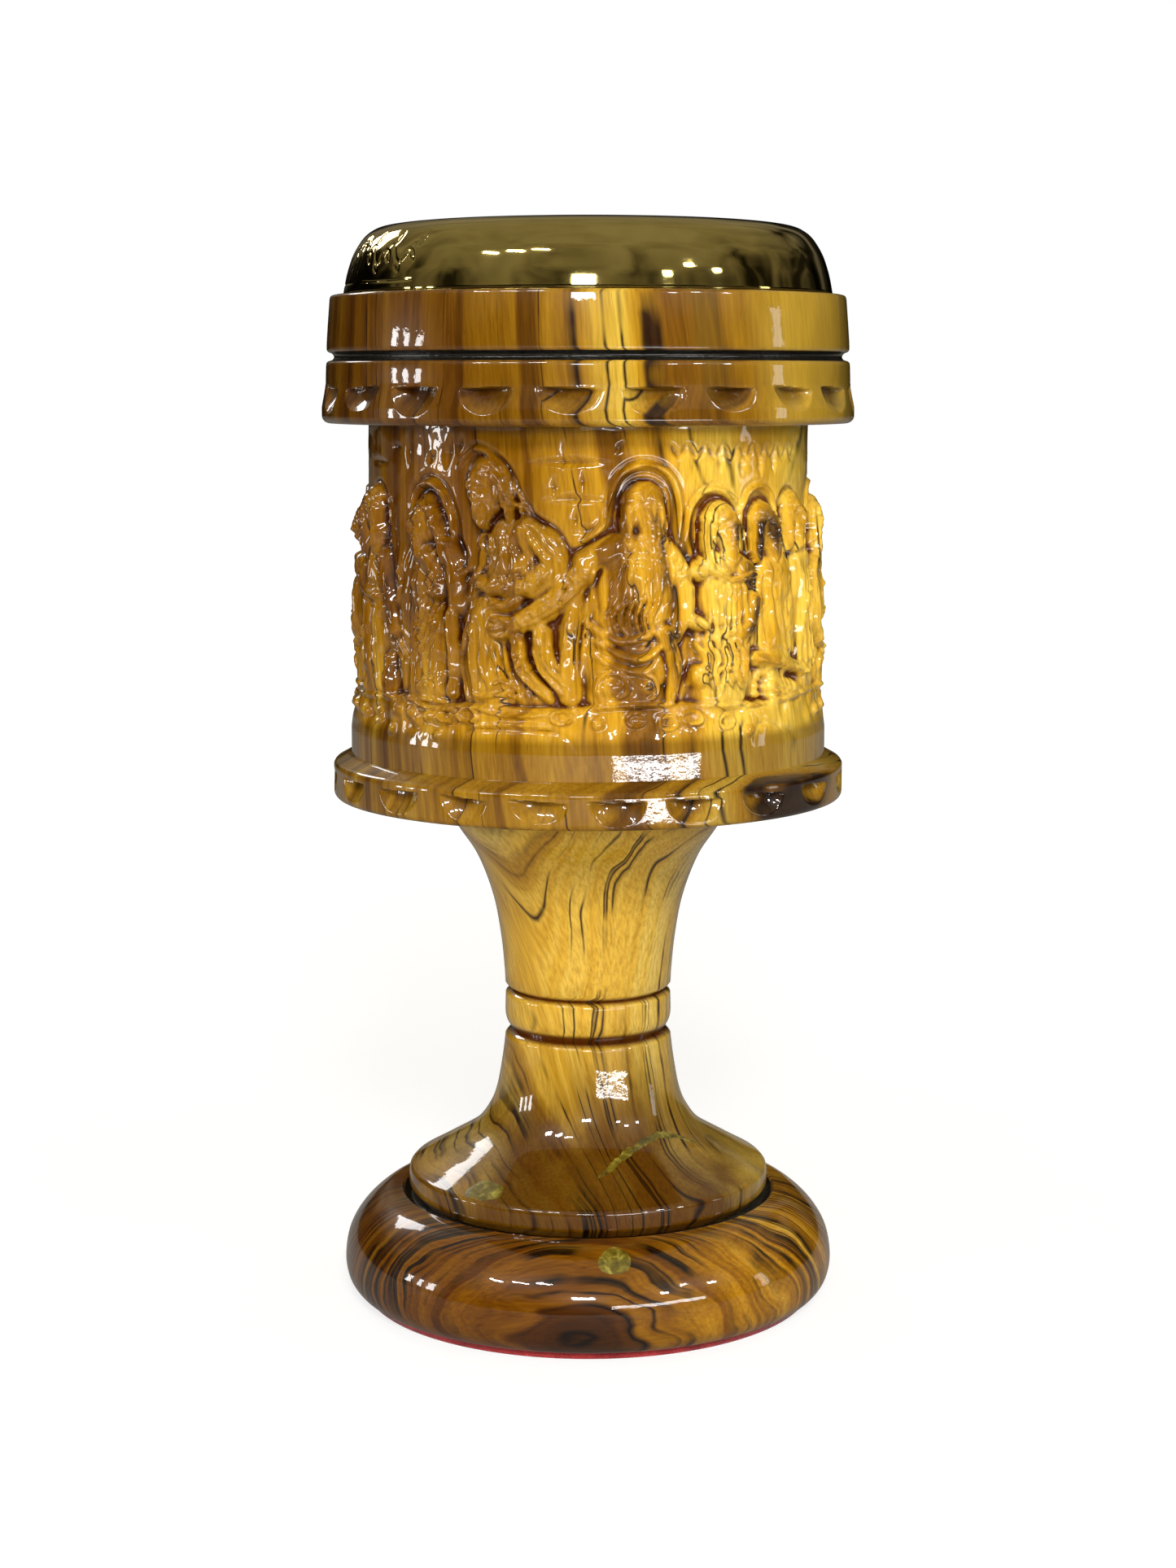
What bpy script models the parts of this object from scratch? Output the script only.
"""A ciborium: carved olive-wood cup, turned stem and base, lift-out brass liner and lift-off brass lid.

The vessel stands on Z = 0, its turning axis is Z, and its front faces -Y. Sizes here are in
millimetres and become metres when a mesh is made. A turned piece is a profile of (radius, height).
"""

import math

import bmesh
import bpy
from mathutils import Matrix, Vector

MM = 0.001

# Clearance between two pieces that touch on the real vessel.
GAP = 0.3

# Heights of the main levels above the table.
FELT_TOP = 1.0
BASE_BOTTOM = FELT_TOP + GAP
BASE_SEAT = 19.4
FOOT_BOTTOM = BASE_SEAT + GAP
STEM_TOP = 97.5
CUP_BOTTOM = STEM_TOP + GAP
FLANGE_TOP = 104.2
DRUM_BOTTOM = 106.0
BAND_TOP = 117.0
COLLAR_BOTTOM = 168.0
COLLAR_GROOVE = 180.3
CUP_TOP = 191.6
LID_BOTTOM = CUP_TOP + GAP
LID_TOP = 205.0

# Outer radii.
FELT_RADIUS = 43.6
BASE_RADIUS = 47.4
FOOT_RADIUS = 34.9
NECK_RADIUS = 16.0
FLANGE_RADIUS = 48.5
DRUM_RADIUS = 43.4
BAND_RADIUS = 45.2
COLLAR_RADIUS = 49.9
CUP_TOP_RADIUS = 48.2
LID_RADIUS = 45.6

# The glued joints: round tenons on the stem, and the mortises that take them.
TENON_RADIUS = 12.0
MORTISE_RADIUS = TENON_RADIUS + GAP
TENON_TOP = 108.0
TENON_BOTTOM = 8.0

# The brass bowl inside the cup, and the sheet that the bowl and the lid are spun from.
SHEET = 0.9
LIP_RADIUS = 43.0
LIP_TOP = 196.6
SHOULDER = 188.6
BOWL_RADIUS = 40.0
BOWL_BOTTOM = 117.6

# Gouge notches cut by hand around the collar and the flange.
NOTCH_HALF_WIDTH = 5.2
NOTCH_HEIGHT = 3.9
NOTCH_DEPTH = 1.9
COLLAR_NOTCHES = 21
COLLAR_NOTCH_TOP = 174.6
COLLAR_NOTCH_START = 13.3
FLANGE_NOTCHES = 20
FLANGE_NOTCH_TOP = 102.9
FLANGE_NOTCH_START = 9.0

# Resin fills in the wood's two knots and its crack. Azimuths are from the front, right positive.
FILL_DEPTH = 3.0
BASE_KNOT_RADIUS = 3.5
BASE_KNOT_HEIGHT = 17.8
BASE_KNOT_AZIMUTH = 6.6
FOOT_KNOT_RADIUS = 3.8
FOOT_KNOT_HEIGHT = 25.9
FOOT_KNOT_AZIMUTH = -37.0
CRACK_RADIUS = 0.9
CRACK_ROUTE = [(9.0, 30.2), (17.0, 31.8), (29.0, 33.4), (41.0, 34.1), (53.0, 33.2)]

# Facets around the wide turned pieces and around the stem.
WIDE_STEPS = 48
STEM_STEPS = 36


def clear_scene():
    for obj in list(bpy.data.objects):
        bpy.data.objects.remove(obj, do_unlink=True)


def make_collection(name):
    collection = bpy.data.collections.new(name)
    bpy.context.scene.collection.children.link(collection)
    return collection


def make_material(name, colour, roughness, metallic=0.0):
    material = bpy.data.materials.new(name)
    material.use_nodes = True
    shader = material.node_tree.nodes["Principled BSDF"]
    shader.inputs["Base Color"].default_value = (*colour, 1.0)
    shader.inputs["Roughness"].default_value = roughness
    shader.inputs["Metallic"].default_value = metallic
    return material


def smooth(points, per_span=2):
    """A smooth curve through hand-set (radius, height) points, Catmull-Rom style."""
    ends = [points[0]] + points + [points[-1]]
    curve = []
    for before, start, end, after in zip(ends, ends[1:], ends[2:], ends[3:]):
        for i in range(per_span):
            t = i / per_span
            curve.append(
                tuple(
                    0.5 * (2 * b + (c - a) * t + (2 * a - 5 * b + 4 * c - d) * t**2 + (3 * b - a - 3 * c + d) * t**3)
                    for a, b, c, d in zip(before, start, end, after)
                )
            )
    return curve + [points[-1]]


def moved_out(points, distance):
    """The profile line moved sideways, to the right of its own direction on a line that runs upward."""
    moved = []
    for i, (radius, height) in enumerate(points):
        before = points[max(i - 1, 0)]
        after = points[min(i + 1, len(points) - 1)]
        along = Vector((after[0] - before[0], after[1] - before[1])).normalized()
        moved.append((max(radius + along.y * distance, 0.0), height - along.x * distance))
    moved[0] = (0.0, moved[0][1])
    return moved


def groove(radius, height, half_width, depth):
    """A pointed groove in a turned face, from its upper lip to its lower one."""
    return [(radius, height + half_width), (radius - depth, height), (radius, height - half_width)]


def bowl_line():
    """The outside of the brass bowl, from its bottom on the axis up to the shoulder."""
    return smooth(
        [(0.0, BOWL_BOTTOM), (11.0, 118.2), (21.0, 121.8), (29.0, 129.5), (33.8, 142.0), (36.2, 157.0),
         (38.0, 173.0), (BOWL_RADIUS, SHOULDER)]
    )


def cup_profile():
    cavity = moved_out(bowl_line(), GAP)
    bore = LIP_RADIUS + GAP
    rim = [(bore, SHOULDER - GAP), (bore, CUP_TOP), (CUP_TOP_RADIUS - 0.8, CUP_TOP), (CUP_TOP_RADIUS, CUP_TOP - 0.8)]
    collar = groove(48.9, COLLAR_GROOVE, 0.8, 1.3) + [
        (49.1, 175.0),
        (COLLAR_RADIUS, 171.0),
        (COLLAR_RADIUS, COLLAR_BOTTOM + 1.0),
        (COLLAR_RADIUS - 1.0, COLLAR_BOTTOM),
    ]
    drum = [(DRUM_RADIUS, COLLAR_BOTTOM), (DRUM_RADIUS, BAND_TOP + 1.5), (BAND_RADIUS, BAND_TOP)]
    flange = [
        (BAND_RADIUS, DRUM_BOTTOM),
        (FLANGE_RADIUS - 0.6, FLANGE_TOP + 0.4),
        (FLANGE_RADIUS, FLANGE_TOP - 0.4),
        (FLANGE_RADIUS, CUP_BOTTOM + 1.2),
        (FLANGE_RADIUS - 1.2, CUP_BOTTOM),
    ]
    mortise = [(MORTISE_RADIUS, CUP_BOTTOM), (MORTISE_RADIUS, TENON_TOP + GAP), (0.0, TENON_TOP + GAP)]
    cavity[-1] = (cavity[-1][0], SHOULDER - GAP)
    return cavity + rim + collar + drum + flange + mortise


def stem_profile():
    tenon_above = [(0.0, TENON_TOP), (TENON_RADIUS, TENON_TOP), (TENON_RADIUS, STEM_TOP)]
    flare = smooth([(28.0, STEM_TOP), (25.2, 92.0), (21.3, 86.0), (18.3, 78.0), (16.8, 70.0), (NECK_RADIUS, 61.0)])
    ring = groove(NECK_RADIUS, 59.8, 0.7, 1.1)[1:] + [
        (NECK_RADIUS, 54.2),
        (NECK_RADIUS - 0.5, 53.0),
        (NECK_RADIUS - 1.2, 51.8),
    ]
    foot = smooth([(NECK_RADIUS, 51.0), (16.6, 46.0), (17.7, 40.0), (19.3, 36.0), (22.5, 32.0), (29.0, 28.0), (34.3, 25.0)])
    lip = [(FOOT_RADIUS, 24.2), (FOOT_RADIUS, 21.4), (FOOT_RADIUS - 1.5, FOOT_BOTTOM)]
    tenon_below = [(TENON_RADIUS, FOOT_BOTTOM), (TENON_RADIUS, TENON_BOTTOM), (0.0, TENON_BOTTOM)]
    return tenon_above + flare + ring + foot + lip + tenon_below


def base_profile():
    mortise = [(0.0, TENON_BOTTOM - GAP), (MORTISE_RADIUS, TENON_BOTTOM - GAP), (MORTISE_RADIUS, BASE_SEAT)]
    painted_groove = [(FOOT_RADIUS - 1.0, BASE_SEAT), (FOOT_RADIUS, BASE_SEAT - 0.7)]
    side = smooth(
        [(36.3, 20.4), (40.0, 19.2), (43.9, 16.0), (46.5, 12.0), (BASE_RADIUS, 7.5), (47.0, 4.2), (45.8, 2.2),
         (44.4, BASE_BOTTOM)]
    )
    return mortise + painted_groove + side + [(0.0, BASE_BOTTOM)]


def surface_at(profile, height):
    """Radius and outward tilt, in degrees above level, of a turned piece's outer side at this height."""
    for upper, lower in zip(profile, profile[1:]):
        if lower[1] <= height < upper[1]:
            share = (upper[1] - height) / (upper[1] - lower[1])
            radius = upper[0] + (lower[0] - upper[0]) * share
            return radius, math.degrees(math.atan2(lower[0] - upper[0], upper[1] - lower[1]))
    raise ValueError("no outer side at this height")


def on_vessel(azimuth, radius, height):
    """The point at this radius and height, at an azimuth in degrees from the front, right positive."""
    turn = math.radians(azimuth)
    return Vector((radius * math.sin(turn), -radius * math.cos(turn), height)) * MM


def finish_object(name, mesh, collection, material):
    obj = bpy.data.objects.new(name, mesh)
    collection.objects.link(obj)
    if material:
        mesh.materials.append(material)
        mesh.shade_smooth()
        mesh.set_sharp_from_angle(angle=math.radians(30))
    return obj


def add_object(name, bm, collection, material=None):
    mesh = bpy.data.meshes.new(name)
    bm.to_mesh(mesh)
    bm.free()
    return finish_object(name, mesh, collection, material)


def turned(name, profile, steps, collection, material=None):
    """Spins a profile about Z. The profile runs down the outer side."""
    bm = bmesh.new()
    verts = [bm.verts.new(Vector((radius, 0.0, height)) * MM) for radius, height in profile]
    for upper, lower in zip(verts, verts[1:]):
        bm.edges.new((upper, lower))
    obj = add_object(name, bm, collection, material)
    screw = obj.modifiers.new("Turning", "SCREW")
    screw.axis = "Z"
    screw.angle = math.tau
    screw.steps = steps
    screw.render_steps = steps
    screw.use_merge_vertices = True
    screw.merge_threshold = 0.00001
    screw.use_smooth_shade = True
    return obj


def spun_from_sheet(name, profile, collection, material):
    """A spun brass shell: the profile is its outside, and the sheet's thickness goes inward."""
    obj = turned(name, profile, WIDE_STEPS, collection, material)
    solidify = obj.modifiers.new("Sheet", "SOLIDIFY")
    solidify.thickness = SHEET * MM
    solidify.offset = -1.0
    solidify.use_even_offset = True
    return obj


def combine(target, tool, operation):
    """Cuts the target by the tool, or keeps only what lies inside the tool."""
    tool.hide_render = True
    tool.display_type = "WIRE"
    boolean = target.modifiers.new(tool.name, "BOOLEAN")
    boolean.operation = operation
    boolean.solver = "EXACT"
    boolean.object = tool


def notch_cutter(name, azimuths, radius, top, collection):
    """Gouge cuts around a ring: each is the lower half of an ellipsoid, flat on top and deepest there."""
    bm = bmesh.new()
    for azimuth in azimuths:
        place = Matrix.Translation(on_vessel(azimuth, radius, top))
        place @= Matrix.Rotation(math.radians(azimuth), 4, "Z")
        place @= Matrix.Diagonal((NOTCH_HALF_WIDTH * MM, NOTCH_DEPTH * MM, NOTCH_HEIGHT * MM, 1.0))
        bmesh.ops.create_uvsphere(bm, u_segments=12, v_segments=6, radius=1.0, matrix=place)
    everything = bm.verts[:] + bm.edges[:] + bm.faces[:]
    bmesh.ops.bisect_plane(
        bm, geom=everything, dist=0.01 * MM, plane_co=(0, 0, top * MM), plane_no=(0, 0, 1), clear_outer=True
    )
    rims = [edge for edge in bm.edges if edge.is_boundary]
    bmesh.ops.edgeloop_fill(bm, edges=rims)
    bmesh.ops.recalc_face_normals(bm, faces=bm.faces)
    return add_object(name, bm, collection)


def plug(name, profile, azimuth, height, radius, depth, collection, material=None):
    """A round plug set square to the turned surface. It stands proud until it is cut flush."""
    surface_radius, tilt = surface_at(profile, height)
    place = Matrix.Translation(on_vessel(azimuth, surface_radius, height))
    place @= Matrix.Rotation(math.radians(azimuth), 4, "Z")
    place @= Matrix.Rotation(math.radians(90.0 - tilt), 4, "X")
    bm = bmesh.new()
    bmesh.ops.create_cone(
        bm,
        cap_ends=True,
        segments=20,
        radius1=radius * MM,
        radius2=radius * MM,
        depth=2 * depth * MM,
        matrix=place,
    )
    return add_object(name, bm, collection, material)


def rope(name, points, radius, collection, material=None):
    """A round tube along a route, made a closed mesh."""
    data = bpy.data.curves.new(name, "CURVE")
    data.dimensions = "3D"
    data.bevel_depth = radius * MM
    data.bevel_resolution = 2
    data.use_fill_caps = True
    spline = data.splines.new("POLY")
    spline.points.add(len(points) - 1)
    for spline_point, point in zip(spline.points, points):
        spline_point.co = (*point, 1.0)
    guide = bpy.data.objects.new(name, data)
    bpy.context.scene.collection.objects.link(guide)
    evaluated = guide.evaluated_get(bpy.context.evaluated_depsgraph_get())
    mesh = bpy.data.meshes.new_from_object(evaluated)
    bpy.data.objects.remove(guide, do_unlink=True)
    bpy.data.curves.remove(data)
    bm = bmesh.new()
    bm.from_mesh(mesh)
    bpy.data.meshes.remove(mesh)
    bmesh.ops.remove_doubles(bm, verts=bm.verts, dist=0.001 * MM)
    bmesh.ops.recalc_face_normals(bm, faces=bm.faces)
    return add_object(name, bm, collection, material)


def build_cup(vessel, tools):
    wood = make_material("carved olive wood", (0.47, 0.26, 0.04), 0.25)
    cup = turned("cup", cup_profile(), WIDE_STEPS, vessel, wood)
    even = [COLLAR_NOTCH_START + 360.0 * i / COLLAR_NOTCHES for i in range(COLLAR_NOTCHES)]
    combine(cup, notch_cutter("collar_notches", even, COLLAR_RADIUS, COLLAR_NOTCH_TOP, tools), "DIFFERENCE")
    # The carver's spacing drifts a little as the flange is turned in the hand.
    drifting = []
    for i in range(FLANGE_NOTCHES):
        drift = 2.2 * (math.cos(math.tau * (i + 3) / 10) - 1.0)
        drifting.append(FLANGE_NOTCH_START + 360.0 * i / FLANGE_NOTCHES + drift)
    combine(cup, notch_cutter("flange_notches", drifting, FLANGE_RADIUS, FLANGE_NOTCH_TOP, tools), "DIFFERENCE")


def build_stem(vessel, tools, resin):
    wood = make_material("turned olive wood", (0.57, 0.36, 0.08), 0.25)
    profile = stem_profile()
    stem = turned("stem", profile, STEM_STEPS, vessel, wood)
    envelope = turned("stem_envelope", profile, STEM_STEPS, tools)

    knot = (profile, FOOT_KNOT_AZIMUTH, FOOT_KNOT_HEIGHT)
    hole = plug("foot_knot_hole", *knot, FOOT_KNOT_RADIUS + GAP, FILL_DEPTH + GAP, tools)
    fill = plug("foot_knot_fill", *knot, FOOT_KNOT_RADIUS, FILL_DEPTH, vessel, resin)
    combine(stem, hole, "DIFFERENCE")
    combine(fill, envelope, "INTERSECT")

    route = [on_vessel(azimuth, surface_at(profile, height)[0], height) for azimuth, height in smooth(CRACK_ROUTE, 3)]
    opening = rope("foot_crack", route, CRACK_RADIUS + GAP, tools)
    seam = rope("foot_crack_fill", route[1:-1], CRACK_RADIUS, vessel, resin)
    combine(stem, opening, "DIFFERENCE")
    combine(seam, envelope, "INTERSECT")


def build_base(vessel, tools, resin):
    wood = make_material("figured olive wood", (0.40, 0.21, 0.04), 0.25)
    profile = base_profile()
    base = turned("base", profile, WIDE_STEPS, vessel, wood)
    envelope = turned("base_envelope", profile, WIDE_STEPS, tools)
    knot = (profile, BASE_KNOT_AZIMUTH, BASE_KNOT_HEIGHT)
    hole = plug("base_knot_hole", *knot, BASE_KNOT_RADIUS + GAP, FILL_DEPTH + GAP, tools)
    fill = plug("base_knot_fill", *knot, BASE_KNOT_RADIUS, FILL_DEPTH, vessel, resin)
    combine(base, hole, "DIFFERENCE")
    combine(fill, envelope, "INTERSECT")


def build_felt(vessel):
    felt = make_material("red felt", (0.42, 0.03, 0.03), 0.95)
    bm = bmesh.new()
    bmesh.ops.create_cone(
        bm,
        cap_ends=True,
        segments=WIDE_STEPS,
        radius1=FELT_RADIUS * MM,
        radius2=FELT_RADIUS * MM,
        depth=FELT_TOP * MM,
        matrix=Matrix.Translation((0.0, 0.0, 0.5 * FELT_TOP * MM)),
    )
    add_object("felt_pad", bm, vessel, felt)


def build_brass(vessel):
    brass = make_material("polished brass", (0.62, 0.50, 0.22), 0.12, 1.0)
    bowl = [(LIP_RADIUS, LIP_TOP), (LIP_RADIUS, SHOULDER + 0.6), (LIP_RADIUS - 0.6, SHOULDER)]
    spun_from_sheet("liner", bowl + bowl_line()[::-1], vessel, brass)
    crown = smooth(
        [(0.0, LID_TOP), (24.0, 204.9), (36.0, 204.4), (40.6, 203.0), (43.3, 199.7), (44.8, 195.8),
         (LID_RADIUS, LID_BOTTOM)]
    )
    spun_from_sheet("lid", crown, vessel, brass)


def build():
    clear_scene()
    vessel = make_collection("ciborium")
    tools = make_collection("cutters")
    resin = make_material("knot resin", (0.21, 0.15, 0.02), 0.3)
    build_felt(vessel)
    build_base(vessel, tools, resin)
    build_stem(vessel, tools, resin)
    build_cup(vessel, tools)
    build_brass(vessel)


build()
